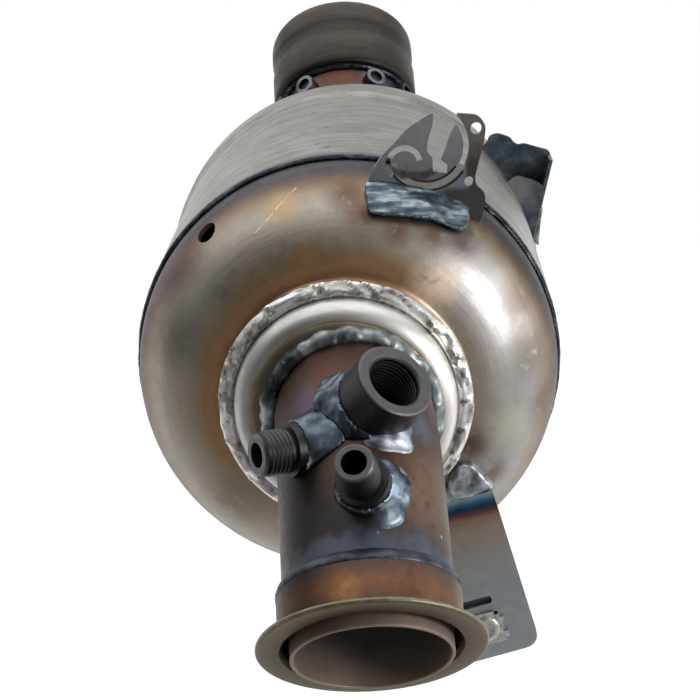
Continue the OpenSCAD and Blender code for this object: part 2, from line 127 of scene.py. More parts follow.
BOSS = on_bend(28.1, 8.2) @ turn(7.2, 17.2)
UNION = on_bend(35.8, -45.3) @ turn(18.9, -26.3)
STUB = on_leg(13.3, -1) @ turn(6.4, -11.5)
PLATE = OUTLET @ turn(0, 0, 17)
CLIP = OUTLET @ shift(25, 0, 22) @ turn(0, 9)
CLIP_RING = (3.5, 84.5)
INLET = CAN @ Matrix.Translation((0, CAN_HIGH.y - CAN_LOW.y, 0)) @ turn(-90)
NECK = INLET @ turn(0, 0, -6) @ shift(0, 0, 23) @ turn(40)


def tone(red, green, blue):
    """Linear colour of a screen colour from 0 to 255."""
    parts = []
    for part in (red, green, blue):
        part = part / 255
        parts.append(part / 12.92 if part <= 0.04045 else ((part + 0.055) / 1.055) ** 2.4)
    return (*parts, 1.0)


# Node materials


def math_node(operation):
    """A method that adds one kind of math node."""
    return lambda wiring, *values: wiring.math(operation, *values)


class Wiring:
    """A node tree while it is being wired."""

    def __init__(self, tree):
        self.tree = tree

    def add(self, kind, *values, **settings):
        node = self.tree.nodes.new("ShaderNode" + kind)
        for key, value in settings.items():
            setattr(node, key, value)
        for socket, value in zip(node.inputs, values):
            if value is not None:
                self.put(socket, value)
        return node

    def put(self, socket, value):
        if isinstance(value, bpy.types.NodeSocket):
            self.tree.links.new(value, socket)
        else:
            socket.default_value = value

    def math(self, operation, *values, clamp=False):
        return self.add("Math", *values, operation=operation, use_clamp=clamp).outputs[0]

    plus = math_node("ADD")
    minus = math_node("SUBTRACT")
    times = math_node("MULTIPLY")
    line = math_node("MULTIPLY_ADD")
    cos = math_node("COSINE")
    sin = math_node("SINE")

    def sway(self, noise, swing, value):
        """A value moved to both sides by a noise."""
        return self.line(self.minus(noise, 0.5), swing, value)

    def vector(self, operation, a, b=None):
        node = self.add("VectorMath", a, b, operation=operation)
        return node.outputs["Value" if operation in ("DOT_PRODUCT", "LENGTH") else "Vector"]

    def length(self, vector):
        return self.vector("LENGTH", vector)

    def triple(self, x, y, z):
        return self.add("CombineXYZ", x, y, z).outputs[0]

    def fit(self, value, low, high, to_low, to_high, way="LINEAR"):
        """A value carried from one range to another."""
        values = (value, low, high, to_low, to_high)
        return self.add("MapRange", *values, interpolation_type=way).outputs[0]

    def span(self, value, low, high, to_low=0.0, to_high=1.0):
        """A value carried from one range to another with soft ends."""
        return self.fit(value, low, high, to_low, to_high, "SMOOTHSTEP")


class Finish(Wiring):
    """A procedural material while it is being wired."""

    def __init__(self, name, metallic=1.0):
        self.material = bpy.data.materials.new(name)
        self.material.use_nodes = True
        super().__init__(self.material.node_tree)
        self.shader = self.tree.nodes["Principled BSDF"]
        self.shader.inputs["Metallic"].default_value = metallic
        self.point = self.add("TexCoord").outputs["Object"]
        self.colour = None

    def point_mm(self):
        """The point in the part's own axes, in millimetres."""
        return self.vector("MULTIPLY", self.point, (1 / MM, 1 / MM, 1 / MM))

    def local(self, place):
        """Millimetres along the axes of a place, as three numbers and one vector."""
        offset = self.vector("SUBTRACT", self.point, place.translation)
        axes = [self.vector("DOT_PRODUCT", offset, place.col[k].to_3d() / MM) for k in range(3)]
        return (*axes, self.triple(*axes))

    def ring(self, place):
        """Radius, angle and height round a place's axis."""
        x, y, z, at = self.local(place)
        radius = self.length(self.triple(x, y, 0.0))
        return radius, self.math("ARCTAN2", y, x), z, at

    def turned(self, angle, along, factor):
        """A point on a drum, so that noise runs round it without a seam."""
        return self.triple(self.cos(angle), self.sin(angle), self.times(along, factor))

    def noise(self, vector, scale, detail=3.0, rough=0.55):
        return self.add("TexNoise", vector, None, scale, detail, rough).outputs["Fac"]

    def cells(self, vector, scale):
        """Distance to the nearest of scattered points."""
        return self.add("TexVoronoi", vector, None, scale, feature="F1").outputs["Distance"]

    def spot(self, at, centre, reach, core=0.0):
        """One at a point, fading to nothing at its reach in millimetres."""
        return self.span(self.length(self.vector("SUBTRACT", at, centre)), reach, core)

    def ramp(self, value, *stops):
        """Colour along a value; a stop is a position with a colour or three screen values."""
        low, high = stops[0][0], stops[-1][0]
        node = self.add("ValToRGB", self.fit(value, low, high, 0.0, 1.0))
        band = node.color_ramp
        while len(band.elements) < len(stops):
            band.elements.new(0.5)
        for element, (position, *colour) in zip(band.elements, stops):
            element.position = (position - low) / (high - low)
            colour = colour if len(colour) == 3 else colour[0]
            element.color = tone(*colour) if len(colour) == 3 else colour
        return node.outputs[0]

    def mix(self, factor, a, b, mode="MIX"):
        """Two colours, the second one where the factor is one."""
        node = self.add("Mix", data_type="RGBA", blend_type=mode)
        self.put(node.inputs[0], factor)
        self.put(node.inputs[6], a)
        self.put(node.inputs[7], b)
        return node.outputs[2]

    def tint(self, mask, share, screen):
        """Tints the colour by a screen colour where a mask says, by a share; for stains and for
        painted light and shade.
        """
        self.colour = self.mix(self.times(mask, share), self.colour, tone(*screen))

    def shade(self, value, low, high):
        """Multiplies the colour by a grey between two levels."""
        grey = self.fit(value, 0.0, 1.0, low, high)
        self.colour = self.mix(1.0, self.colour, self.triple(grey, grey, grey), "MULTIPLY")

    def scratch_and_shade_lines(self, at, lines, width, share, screen):
        """Tints the colour along lines, for scratches and for painted shade; each line is a start
        and an end in millimetres.
        """
        for start, end in lines:
            start, run = Vector(start), Vector(end) - Vector(start)
            away = self.vector("SUBTRACT", at, start)
            along = self.vector("DOT_PRODUCT", away, run / run.length_squared)
            along = self.math("MULTIPLY", along, 1.0, clamp=True)
            foot = self.vector("MULTIPLY", self.triple(along, along, along), run)
            off = self.length(self.vector("SUBTRACT", away, foot))
            self.tint(self.span(off, width, width * 0.3), share, screen)

    def dress(self, rough, height=None, depth=0.05):
        """Puts on the colour, roughness fitted to a range, and relief in millimetres."""
        self.put(self.shader.inputs["Base Color"], self.colour)
        self.put(self.shader.inputs["Roughness"], self.fit(*rough))
        if height is not None:
            node = self.add("Bump")
            node.inputs["Strength"].default_value = 1.0
            node.inputs["Distance"].default_value = depth * MM
            self.put(node.inputs["Height"], height)
            self.tree.links.new(node.outputs[0], self.shader.inputs["Normal"])
        return self.material


def can_finish():
    f = Finish("drawn_can_steel")
    _, angle, height, at = f.ring(OUTLET)
    turns = f.turned(angle, height, 0.07)
    streak = f.noise(turns, 4.5, 8, 0.75)
    cloud = f.noise(at, 0.05, 6, 0.68)
    grain = f.noise(at, 0.7, 4, 0.65)
    f.colour = f.ramp(
        streak, (0.3, 142, 141, 136), (0.42, 164, 163, 157), (0.56, 180, 179, 173),
        (0.72, 196, 195, 190),
    )
    f.shade(cloud, 0.4, 1.42)
    f.shade(grain, 0.8, 1.16)
    # Painted shade: the top of the can, which faces the light from above, is made darker.
    top = f.span(f.sin(angle), 0.35, 1.0)
    f.shade(top, 1.0, 0.58)
    pits = f.span(f.cells(at, 0.09), 0.12, 0.07)
    some = f.span(f.noise(at, 0.05, 1), 0.54, 0.58)
    f.tint(pits, some, (66, 56, 46))
    row = f.point_mm()
    for centre, reach in (
        ((-7, -166, -2.2), 1.7), ((-0.5, -202, -1.5), 1.5), ((-3, -233, -1.6), 1.8),
        ((0.7, -241, -1.4), 2.0),
    ):
        f.tint(f.spot(row, centre, reach, reach * 0.4), 0.85, (70, 64, 56))
    # Painted shade: a thin darker line along a bent crease in the can.
    bent = (-30, -168, -11.4)
    lines = (((-41, -175, -19.2), bent), (bent, (-19, -164, -6.2)))
    f.scratch_and_shade_lines(row, lines, 1.6, 0.6, (90, 89, 84))
    soot = f.span(f.sway(cloud, 5.0, height), -6.0, -0.5)
    f.tint(soot, 0.75, (66, 66, 66))
    return f.dress((streak, 0.3, 0.7, 0.5, 0.38), f.line(grain, 0.8, streak), 0.07)


def dome_finish():
    f = Finish("heat_tinted_dome")
    radius, angle, height, at = f.ring(OUTLET)
    slope = f.math("ARCTAN2", f.minus(height, DOME_BASE), f.minus(radius, LIP_R))
    arc = f.math("DEGREES", slope)
    broad = f.noise(at, 0.045, 3)
    small = f.noise(at, 0.2, 5, 0.62)
    sway = f.sway(broad, 12.0, arc)
    sway = f.sway(small, 6.0, sway)
    warm_side, crown = math.radians(138), 63.0
    warm = f.span(f.cos(f.minus(angle, warm_side)), -0.15, 0.55)
    past = f.math("MAXIMUM", f.minus(sway, crown), 0.0)
    share = f.line(warm, 0.66, 0.34)
    sway = f.plus(f.math("MINIMUM", sway, crown), f.times(past, share))
    # Heat tint by arc; the darkest stops by the rim also paint the dark reflection along the rim's
    # edge.
    f.colour = f.ramp(
        sway, (-12, 32, 33, 36), (10, 38, 38, 42), (15, 60, 53, 58), (20, 90, 74, 69),
        (26, 120, 102, 86), (33, 146, 133, 117), (43, 160, 154, 145),
        (63, 162, 153, 140), (71, 158, 142, 118), (77, 156, 127, 96),
        (82, 164, 126, 92), (86, 150, 114, 85), (90, 126, 98, 78),
    )
    # A pale neutral grey over the middle of the right side: greyer heat tint there, and painted
    # sheen on the lit right side.
    plain = f.times(f.span(sway, 36.0, 52.0), f.span(sway, 74.0, 64.0))
    plain = f.times(plain, f.span(f.cos(f.plus(angle, 0.1)), 0.1, 0.85))
    f.tint(plain, 0.7, (170, 170, 171))
    patch = f.span(small, 0.22, 0.5)
    for centre, reach, stain_and_painted_light in (
        # Stains, with painted light among them: the gold spot at the upper left, first here, is
        # gold tint with a painted highlight.
        ((-21.5, 64.9, 28.1), 10, (178, 150, 112)), ((-14, 49.5, 38.5), 9, (170, 130, 88)),
        ((26, 36, 40.5), 6, (190, 138, 104)), ((30, 38.4, 39.5), 13, (250, 222, 196)),
        ((-56, 44, 21), 15, (110, 88, 82)), ((-62, 36, 17), 16, (98, 80, 80)),
        ((1, 69, 26), 12, (92, 68, 52)), ((6, 64, 31), 11, (118, 88, 66)),
        ((18, 58.5, 34), 9, (112, 78, 58)), ((30, 56, 32), 9, (104, 72, 58)),
        ((40, 53, 30), 9, (88, 70, 78)), ((44, -18, 39), 10, (84, 58, 48)),
        ((52, -30, 35), 9, (120, 104, 92)), ((65, 13, 30.5), 17, (110, 99, 89)),
        ((60.7, 31.5, 27.7), 13, (122, 108, 96)), ((70.6, -6.8, 24.4), 15, (110, 96, 84)),
        # Painted highlight: the pale warm spot at (57, -12, 36). Painted shade: the greyer spots at
        # the left and lower left, (-60, 19, 33) and (-42, -40.5, 36).
        ((57, -12, 36), 12, (198, 190, 172)), ((-60, 19, 33), 17, (118, 114, 106)),
        ((-42, -40.5, 36), 17, (132, 124, 111)),
    ):
        f.tint(f.times(f.spot(at, centre, reach, 0.5), patch), 0.8, stain_and_painted_light)
    # Painted shadow along the lower edge of the clip's weld bead, mixed with dark heat tint.
    shadow_and_tint_bend = (25, 61, 30.4)
    lines = (((8, 63.5, 32.4), shadow_and_tint_bend), (shadow_and_tint_bend, (42, 56.5, 25.3)))
    f.scratch_and_shade_lines(at, lines, 4.5, 0.55, (72, 58, 50))
    f.shade(f.noise(at, 0.6, 4, 0.6), 0.88, 1.08)
    lines = (
        ((-17.2, 70.5, 21.8), (-24, 64.5, 27.6)), ((-18.6, 68.5, 24), (-27, 60.8, 30)),
        ((-25, 63, 28.6), (-31, 57, 31.6)), ((-14, 70.8, 22), (-16, 69, 24)),
        ((-30, 60, 29), (-36, 55, 30.5)),
    )
    f.scratch_and_shade_lines(at, lines, 0.35, 0.7, (226, 212, 188))
    wipe = f.noise(f.triple(f.times(angle, 2.2), f.times(arc, 0.25), f.times(radius, 0.05)), 1.0, 4)
    return f.dress((small, 0.25, 0.75, 0.34, 0.5), f.line(wipe, 1.5, small), 0.06)


def foil_finish():
    f = Finish("crumpled_foil")
    at = f.point_mm()
    soil = f.noise(at, 0.15, 4, 0.6)
    f.colour = f.ramp(
        soil, (0.3, 136, 130, 122), (0.42, 196, 193, 188), (0.56, 222, 221, 218),
        (0.7, 238, 237, 235),
    )
    # Painted shade: darker in the hollows of the folds (dent) and along their seams (crease).
    dent = f.add("Attribute", attribute_name="dent").outputs["Fac"]
    f.shade(f.span(dent, -0.5, 0.05), 0.66, 1.08)
    crease = f.add("Attribute", attribute_name="crease").outputs["Fac"]
    f.shade(crease, 0.34, 1.0)
    return f.dress((soil, 0.3, 0.7, 0.44, 0.28), f.noise(at, 0.5, 3), 0.12)


def collar_finish():
    f = Finish("satin_collar_steel")
    radius, angle, _, at = f.ring(OUTLET)
    turns = f.turned(angle, radius, 0.12)
    brush = f.noise(turns, 4.0, 6, 0.66)
    broad = f.noise(at, 0.07, 3)
    f.colour = f.ramp(
        f.sway(broad, 4.0, radius),
        (25, 84, 68, 62), (28, 104, 88, 78), (31, 126, 112, 98), (32.2, 164, 146, 118),
        (33.2, 182, 177, 170), (36, 208, 206, 202), (40, 206, 203, 198),
    )
    f.shade(brush, 0.72, 1.2)
    # Painted light and shade: darker toward the left, paler toward the right where the light falls.
    f.shade(f.span(f.cos(angle), -1.0, 0.7), 0.78, 1.14)
    pits = f.span(f.cells(at, 0.16), 0.1, 0.05)
    f.tint(pits, f.span(broad, 0.53, 0.58), (70, 60, 50))
    return f.dress((brush, 0.25, 0.75, 0.5, 0.34), brush, 0.07)


def pipe_finish():
    f = Finish("heat_tinted_pipe")
    x, y, along, at = f.local(LEG)
    row = f.point_mm()
    broad = f.noise(at, 0.06, 4, 0.6)
    small = f.noise(at, 0.28, 5, 0.62)
    way = f.sway(broad, 20.0, along)
    f.colour = f.ramp(
        way, (-46, 80, 56, 45), (-30, 75, 57, 49), (-14, 74, 60, 53), (2, 80, 66, 58),
        (16, 90, 74, 65), (26, 82, 72, 68), (31, 66, 69, 75), (38, 60, 65, 73), (47, 70, 64, 60),
    )
    for centre, reach, stain_and_painted_light in (
        ((-2, -345, -62.7), 13, (88, 74, 90)), ((3, -338, -56), 11, (90, 61, 48)),
        ((36, -368, -84), 22, (116, 94, 80)), ((30, -392, -100), 14, (116, 94, 82)),
        # Painted shade: the dark neutral greys at (-6, -377, -90), (10, -385, -90), (-14, -360,
        # -80) and (16, -388, -94) darken the pipe's lower and left side.
        ((-6, -377, -90), 26, (44, 43, 44)), ((10, -385, -90), 16, (50, 50, 52)),
        ((-14, -360, -80), 20, (52, 48, 48)), ((20, -366, -76), 12, (92, 66, 54)),
        ((34, -352, -68), 10, (104, 112, 122)), ((16, -388, -94), 12, (58, 58, 60)),
    ):
        mark = f.times(f.spot(row, centre, reach, reach * 0.25), f.span(small, 0.2, 0.45))
        f.tint(mark, 0.85, stain_and_painted_light)
    band = f.times(f.span(way, 27, 31), f.span(way, 42, 38))
    f.tint(band, 0.75, (80, 86, 98))
    dots = f.span(f.cells(at, 0.2), 0.14, 0.08)
    near = f.times(f.span(along, 14, 30), f.span(f.noise(at, 0.13, 1), 0.5, 0.56))
    f.tint(dots, near, (190, 190, 192))
    f.shade(small, 0.62, 1.28)
    bx, by, bz, _ = f.local(BEND)
    sweep = f.length(f.triple(f.plus(by, BEND_R), f.minus(bz, BEND_AT), 0.0))
    bend_radius = f.length(f.triple(bx, f.minus(sweep, BEND_R), 0.0))
    leg_radius = f.length(f.triple(x, y, 0.0))
    in_leg = f.math("GREATER_THAN", along, 0.0)
    radius = f.plus(f.times(in_leg, leg_radius), f.times(f.minus(1.0, in_leg), bend_radius))
    f.tint(f.span(radius, PIPE_R - 0.5, PIPE_R - 1.0), 1.0, (40, 38, 37))
    return f.dress((small, 0.25, 0.75, 0.36, 0.54), small, 0.09)


def flange_finish():
    f = Finish("heat_tinted_flange")
    radius, _, along, at = f.ring(LEG)
    row = f.point_mm()
    broad = f.noise(at, 0.06, 4)
    small = f.noise(at, 0.35, 5, 0.65)
    way = f.sway(broad, 8.0, along)
    f.colour = f.ramp(
        way, (36, 78, 70, 74), (40, 98, 76, 66), (45, 118, 84, 64), (49, 104, 76, 62),
        (53, 76, 66, 58), (56, 76, 68, 56),
    )
    # Painted highlight: a golden glint on the sleeve.
    painted_glint = f.spot(row, (10.1, -404.4, -101.2), 7, 0.3)
    f.tint(painted_glint, f.span(small, 0.3, 0.6, 0.2, 0.7), (166, 120, 74))
    # Painted shade: the sleeve grows darker toward its left side.
    x, _, _, _ = f.local(LEG)
    f.shade(f.span(x, -27.0, -4.0), 0.4, 1.0)
    edge = f.ramp(
        f.line(small, 1.6, radius),
        (28, 62, 50, 40), (31, 86, 74, 58), (34.6, 104, 93, 74), (36.2, 116, 107, 88),
        (37.2, 138, 130, 112),
    )
    f.colour = f.mix(f.span(along, 52.4, 53.4), f.colour, edge)
    f.shade(small, 0.62, 1.3)
    f.shade(broad, 0.8, 1.16)
    turned = f.sin(f.times(radius, 9.0))
    return f.dress((small, 0.25, 0.75, 0.36, 0.52), f.line(turned, 0.06, small), 0.08)


def liner_finish():
    f = Finish("sooted_liner_steel", 0.55)
    _, _, along, at = f.ring(LEG)
    row = f.point_mm()
    small = f.noise(at, 0.25, 5, 0.6)
    f.colour = f.ramp(
        f.line(small, 6.0, along),
        (34, 104, 102, 100), (48, 112, 105, 101), (56, 126, 110, 100), (61, 140, 122, 108),
        (64, 150, 133, 118),
    )
    f.tint(f.spot(row, (4, -418, -118), 20, 4), 0.6, (122, 86, 82))
    f.shade(f.noise(at, 0.06, 3), 0.72, 1.2)
    return f.dress((small, 0.2, 0.8, 0.42, 0.62), small, 0.06)


def port_finish(name, place, face_from, dark, pale):
    f = Finish(name)
    radius, angle, along, at = f.ring(place)
    small = f.noise(at, 0.4, 4, 0.6)
    turned = f.noise(f.triple(f.cos(angle), f.times(radius, 1.6), f.times(along, 1.6)), 1.0, 3)
    f.colour = f.mix(f.span(along, face_from - 0.7, face_from - 0.1), dark, pale)
    f.shade(turned, 0.78, 1.2)
    f.shade(small, 0.8, 1.18)
    foot = f.span(f.line(small, 4.0, along), 9.0, 3.0)
    f.tint(foot, 0.5, (58, 60, 66))
    return f.dress((small, 0.25, 0.75, 0.56, 0.4), f.plus(turned, small), 0.05)


def bead_finish(name, dark, mid, glint, scale=0.16, spots=(), run=None, soft=0.0):
    """Weld metal; its streaks follow the x axis of a place where one is given."""
    f = Finish(name)
    at = f.point_mm()
    lie = at
    if run:
        x, y, z, _ = f.local(run)
        lie = f.triple(f.times(x, 0.4), f.times(y, 2.2), f.times(z, 2.2))
    flow = f.noise(lie, scale, 3, 0.5)
    grain = f.noise(at, 0.8, 3)
    f.colour = f.ramp(flow, (0.34, dark), (0.48, mid), (0.62, glint), (0.74, mid))
    for centre, reach, stain_and_painted_light in spots:
        mark = f.times(f.spot(at, centre, reach, reach * 0.3), f.span(grain, 0.15, 0.45))
        f.tint(mark, 1.0, stain_and_painted_light)
    f.shade(grain, 0.82, 1.12)
    return f.dress((flow, 0.3, 0.7, 0.46 + soft, 0.28 + soft), f.line(grain, 0.25, flow), 0.08)


def clip_finish():
    f = Finish("clip_sheet_steel")
    x, y, _, at = f.local(CLIP)
    broad = f.noise(at, 0.09, 4)
    small = f.noise(at, 0.5, 4, 0.6)
    f.colour = f.ramp(
        f.sway(broad, 8.0, y),
        (62, 104, 120, 130), (69, 112, 122, 130), (74, 112, 112, 117), (84, 126, 126, 130),
        (92, 131, 131, 134), (98, 124, 124, 126),
    )
    ring = f.length(f.vector("SUBTRACT", f.triple(x, y, 0.0), (*CLIP_RING, 0.0)))
    off_arm = f.math("ABSOLUTE", f.minus(ring, 13.6))
    arm = f.times(f.span(off_arm, 1.5, 1.2), f.span(y, 80.0, 78.5))
    f.tint(arm, 1.0, (150, 144, 138))
    # Painted shade: a dark crescent below the hook, between the ring and the arm.
    bends = ((-9.6, 77.4, 0), (-5, 75.2, 0), (2.5, 74.8, 0), (6, 76.4, 0))
    lines = tuple(zip(bends, bends[1:]))
    f.scratch_and_shade_lines(f.triple(x, y, 0.0), lines, 2.0, 0.85, (72, 66, 63))
    strip = f.ramp(
        f.sway(small, 5.0, y),
        (60, 76, 72, 76), (70, 72, 68, 70), (78, 70, 66, 62), (82, 88, 84, 76), (88, 104, 100, 92),
        (96, 112, 108, 100),
    )
    edge = f.line(f.minus(y, 80.0), -0.12, 16.6)
    foot = f.times(f.span(y, 71.0, 68.5), f.span(x, 6.0, 11.0))
    right = f.math("MAXIMUM", f.span(f.minus(x, edge), -0.8, 0.8), foot)
    f.colour = f.mix(right, f.colour, strip)
    f.shade(small, 0.84, 1.12)
    return f.dress((small, 0.25, 0.75, 0.4, 0.56), small, 0.05)


def side_finish():
    f = Finish("dark_bracket_steel")
    x, y, _, at = f.local(OUTLET)
    small = f.noise(at, 0.22, 4, 0.55)
    f.colour = f.ramp(small, (0.3, 60, 70, 78), (0.55, 86, 96, 104), (0.75, 118, 124, 131))
    pale = f.span(f.line(y, -0.21, x), 71.2, 72.3)
    f.tint(pale, 0.85, (186, 188, 190))
    f.tint(f.spot(at, (67, 42, -104), 12, 4), 0.75, (140, 140, 142))
    return f.dress((small, 0.2, 0.8, 0.38, 0.54), small, 0.06)


def plate_finish():
    f = Finish("support_plate_steel")
    _, y, _, at = f.local(PLATE)
    small = f.noise(at, 0.35, 4, 0.6)
    broad = f.noise(at, 0.07, 4)
    way = f.sway(broad, 4.0, y)
    f.colour = f.ramp(
        way, (-112, 172, 177, 181), (-84, 162, 167, 171), (-70, 164, 160, 154),
        (-61, 164, 150, 134), (-56.4, 150, 122, 106), (-54.4, 104, 72, 78), (-52.6, 38, 62, 92),
        (-50.6, 66, 110, 138), (-48.8, 150, 168, 176),
    )
    f.shade(small, 0.84, 1.12)
    f.shade(broad, 0.88, 1.1)
    return f.dress((small, 0.25, 0.75, 0.4, 0.56), small, 0.06)


def nut_finish():
    f = Finish("nickel_nut")
    _, _, along, at = f.local(PLATE)
    small = f.noise(at, 0.5, 4, 0.6)
    f.colour = f.ramp(small, (0.3, 168, 165, 158), (0.5, 202, 200, 195), (0.72, 228, 226, 222))
    # Painted shade: the nut is dark grey below the plate's face, where it is seen through the slot.
    f.tint(f.span(along, 41.2, 39.9), 1.0, (84, 87, 92))
    return f.dress((small, 0.25, 0.75, 0.46, 0.32), small, 0.06)


def neck_finish():
    f = Finish("heat_tinted_neck")
    radius, _, _, at = f.ring(NECK)
    x, _, _, _ = f.local(NECK)
    small = f.noise(at, 0.3, 4, 0.6)
    broad = f.noise(at, 0.08, 3)
    side = f.math("ABSOLUTE", f.sway(broad, 8.0, x))
    f.colour = f.ramp(
        side, (0, 104, 72, 58), (9, 100, 74, 64), (14, 112, 98, 104), (20, 92, 98, 108),
        (27, 56, 56, 60),
    )
    knob = f.span(radius, 29.8, 31.0)
    f.tint(knob, 0.85, (60, 56, 54))
    rim = f.times(f.span(radius, 34.0, 34.7), f.span(side, 22.0, 19.0))
    f.tint(rim, 0.7, (128, 134, 142))
    f.shade(small, 0.78, 1.18)
    return f.dress((small, 0.25, 0.75, 0.36, 0.54), small, 0.08)


def socket_finish():
    f = Finish("dull_socket_steel")
    _, angle, along, at = f.ring(NECK)
    turns = f.turned(angle, along, 0.1)
    turned = f.noise(turns, 2.6, 6, 0.68)
    small = f.noise(at, 0.35, 4)
    f.colour = f.ramp(
        f.sway(turned, 7.0, along),
        (84, 46, 42, 40), (90, 66, 61, 57), (101, 80, 74, 69), (104, 68, 64, 62), (111, 66, 63, 61),
        (114, 82, 76, 70), (126, 70, 65, 60),
    )
    f.shade(small, 0.82, 1.16)
    return f.dress((turned, 0.3, 0.7, 0.6, 0.44), turned, 0.07)


def mineral_finish(name, dark, pale, scale):
    f = Finish(name, 0.0)
    grain = f.noise(f.point_mm(), scale, 5, 0.65)
    f.colour = f.ramp(grain, (0.3, dark), (0.7, pale))
    return f.dress((grain, 0.2, 0.8, 0.95, 0.8), grain, 0.2)


# Pieces


def new_object(name, data):
    thing = bpy.data.objects.new(name, data)
    bpy.context.scene.collection.objects.link(thing)
    return thing


def new_mesh(points, faces):
    mesh = bpy.data.meshes.new("shape")
    mesh.from_pydata([tuple(p) for p in points], [], faces)
    mesh.update()
    return mesh


def coat(material, *nodes):
    """Gives solids their finish."""
    for node in nodes:
        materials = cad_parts[node].data.materials
        materials.clear()
        materials.append(material)


def add_piece(name, mesh, material, sharp, node=None):
    """A finer mesh that stands for a solid, or adds to one where no node is named."""
    mesh.name = name
    piece = new_object(name, mesh)
    mesh.materials.clear()
    mesh.materials.append(material)
    mesh.shade_smooth()
    if sharp:
        mesh.set_sharp_from_angle(angle=math.radians(sharp))
    if node:
        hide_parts(node)
    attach(piece, "root")


def grid_mesh(rows, closed, poles=()):
    """Faces between rows of points, closed to rings if asked, with a pole at each end."""
    count = len(rows[0])
    points = [point for row in rows for point in row]
    last = count if closed else count - 1
    faces = []
    for start in range(0, (len(rows) - 1) * count, count):
        for j in range(last):
            a, b = start + j, start + (j + 1) % count
            faces.append((a, b, b + count, a + count))
    for end, pole in enumerate(poles):
        first = (len(rows) - 1) * count * end
        for j in range(count):
            pair = (first + j, first + (j + 1) % count)
            faces.append((len(points), *(pair if end else pair[::-1])))
        points.append(pole)
    return new_mesh(points, faces)


def sheet(place, outline, low, high):
    """A flat outline in millimetres, thickened between two heights."""
    count = len(outline)
    area = sum(a[0] * b[1] - b[0] * a[1] for a, b in zip(outline, [*outline[1:], outline[0]]))
    if area < 0:
        outline = outline[::-1]
    points = [place @ (Vector((x, y, h)) * MM) for h in (low, high) for x, y in outline]
    faces = [tuple(range(count - 1, -1, -1)), tuple(range(count, 2 * count))]
    for i in range(count):
        j = (i + 1) % count
        faces.append((i, j, j + count, i + count))
    return new_mesh(points, faces)


def arc(centre, radius, start, end, steps=24):
    """Points along an arc in millimetres and degrees."""
    angles = [math.radians(start + (end - start) * k / steps) for k in range(steps + 1)]
    return [(centre[0] + radius * math.cos(a), centre[1] + radius * math.sin(a)) for a in angles]


def puddle(place, wide, long, high, seed):
    """A lump of weld that ran out over the pipe, with its edge sunk into the wall."""
    steps, rise, sunk = 48, 12, -2.0
    under = [0.35, 0.7, 0.95]
    shares = [*under, 1.0] + [1.0 - k / rise for k in range(rise)]
    rows = []
    for k, share in enumerate(shares):
        row = []
        for j in range(steps):
            angle = 2 * math.pi * j / steps
            around = Vector((math.cos(angle), math.sin(angle), seed))
            reach = share * (1.0 + 0.22 * noise.noise(around * 1.4))
            x, y = wide * reach * around.x, long * reach * around.y
            bump = 1.0 + 0.3 * noise.noise(Vector((x, y, seed)) * 0.3)
            domed = high * bump * (1.0 - share * share) ** 0.55 - 0.5
            lift = sunk if k < len(under) else domed
            wall = math.sqrt(PIPE_R**2 - x * x) - PIPE_R
            row.append(place @ (Vector((x, y, wall + lift)) * MM))
        rows.append(row)
    poles = [place @ (Vector((0, 0, z)) * MM) for z in (sunk, high - 0.5)]
    return grid_mesh(rows, True, poles)


def lathe(place, profile, steps, change=None):
    """A profile of radius and height turned about a place's axis."""
    rows = []
    for k, (radius, height) in enumerate(profile):
        row = []
        for j in range(steps):
            angle = 2 * math.pi * j / steps
            r, h = (radius, height) if change is None else change(angle, radius, height, k)
            row.append(place @ (Vector((r * math.cos(angle), r * math.sin(angle), h)) * MM))
        rows.append(row)
    return grid_mesh(rows, True)


def fine_copy(node, voxel):
    """A solid's surface as small even faces, in millimetres of voxel."""
    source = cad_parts[node]
    copy = new_object("copy_of_" + node, source.data.copy())
    remesh = copy.modifiers.new("even", "REMESH")
    remesh.mode = "VOXEL"
    remesh.voxel_size = voxel * MM
    remesh.use_smooth_shade = True
    graph = bpy.context.evaluated_depsgraph_get()
    mesh = bpy.data.meshes.new_from_object(copy.evaluated_get(graph))
    bpy.data.objects.remove(copy)
    if not mesh.vertices:
        raise RuntimeError("no surface was left of " + node)
    return mesh


def rows_of(values, key):
    """Points or normals of a mesh as rows of three."""
    flat = np.empty(len(values) * 3)
    values.foreach_get(key, flat)
    return flat.reshape(-1, 3)


def set_points(mesh, points):
    mesh.vertices.foreach_set("co", points.ravel())
    mesh.update()
    return mesh


def soften(mesh, times):
    """Rounds a mesh off by drawing each point towards its neighbours."""
    points = rows_of(mesh.vertices, "co")
    edges = np.empty(len(mesh.edges) * 2, dtype=np.int64)
    mesh.edges.foreach_get("vertices", edges)
    one, two = edges.reshape(-1, 2).T
    links = np.bincount(edges, minlength=len(points))[:, None]
    for _ in range(times):
        total = np.zeros_like(points)
        np.add.at(total, one, points[two])
        np.add.at(total, two, points[one])
        points = (1 - SOFTEN_PULL) * points + SOFTEN_PULL * total / links
    return set_points(mesh, points)


def knead(mesh, height):
    """Moves each point along its normal by a height in millimetres."""
    points = rows_of(mesh.vertices, "co")
    normals = rows_of(mesh.vertex_normals, "vector")
    lift = np.array([height(Vector(p) / MM) for p in points])
    return set_points(mesh, points + normals * lift[:, None] * MM)


def ripple(place, count, deep, seed, swell):
    """Crescent ripples round an axis, with lumps, as heights for kneading."""
    inverse = place.inverted()

    def height(point):
        local = inverse @ (point * MM) / MM
        angle = math.atan2(local.y, local.x)
        drift = noise.noise(point * 0.16 + Vector((seed, 0, 0)))
        wave = math.sin(angle * count + local.z * 0.9 + 5.0 * drift)
        lump = noise.fractal(point * 0.17 + Vector((0, seed, 0)), 1.0, 2.0, 2)
        return swell + deep * (0.4 * wave + 1.5 * lump)

    return height


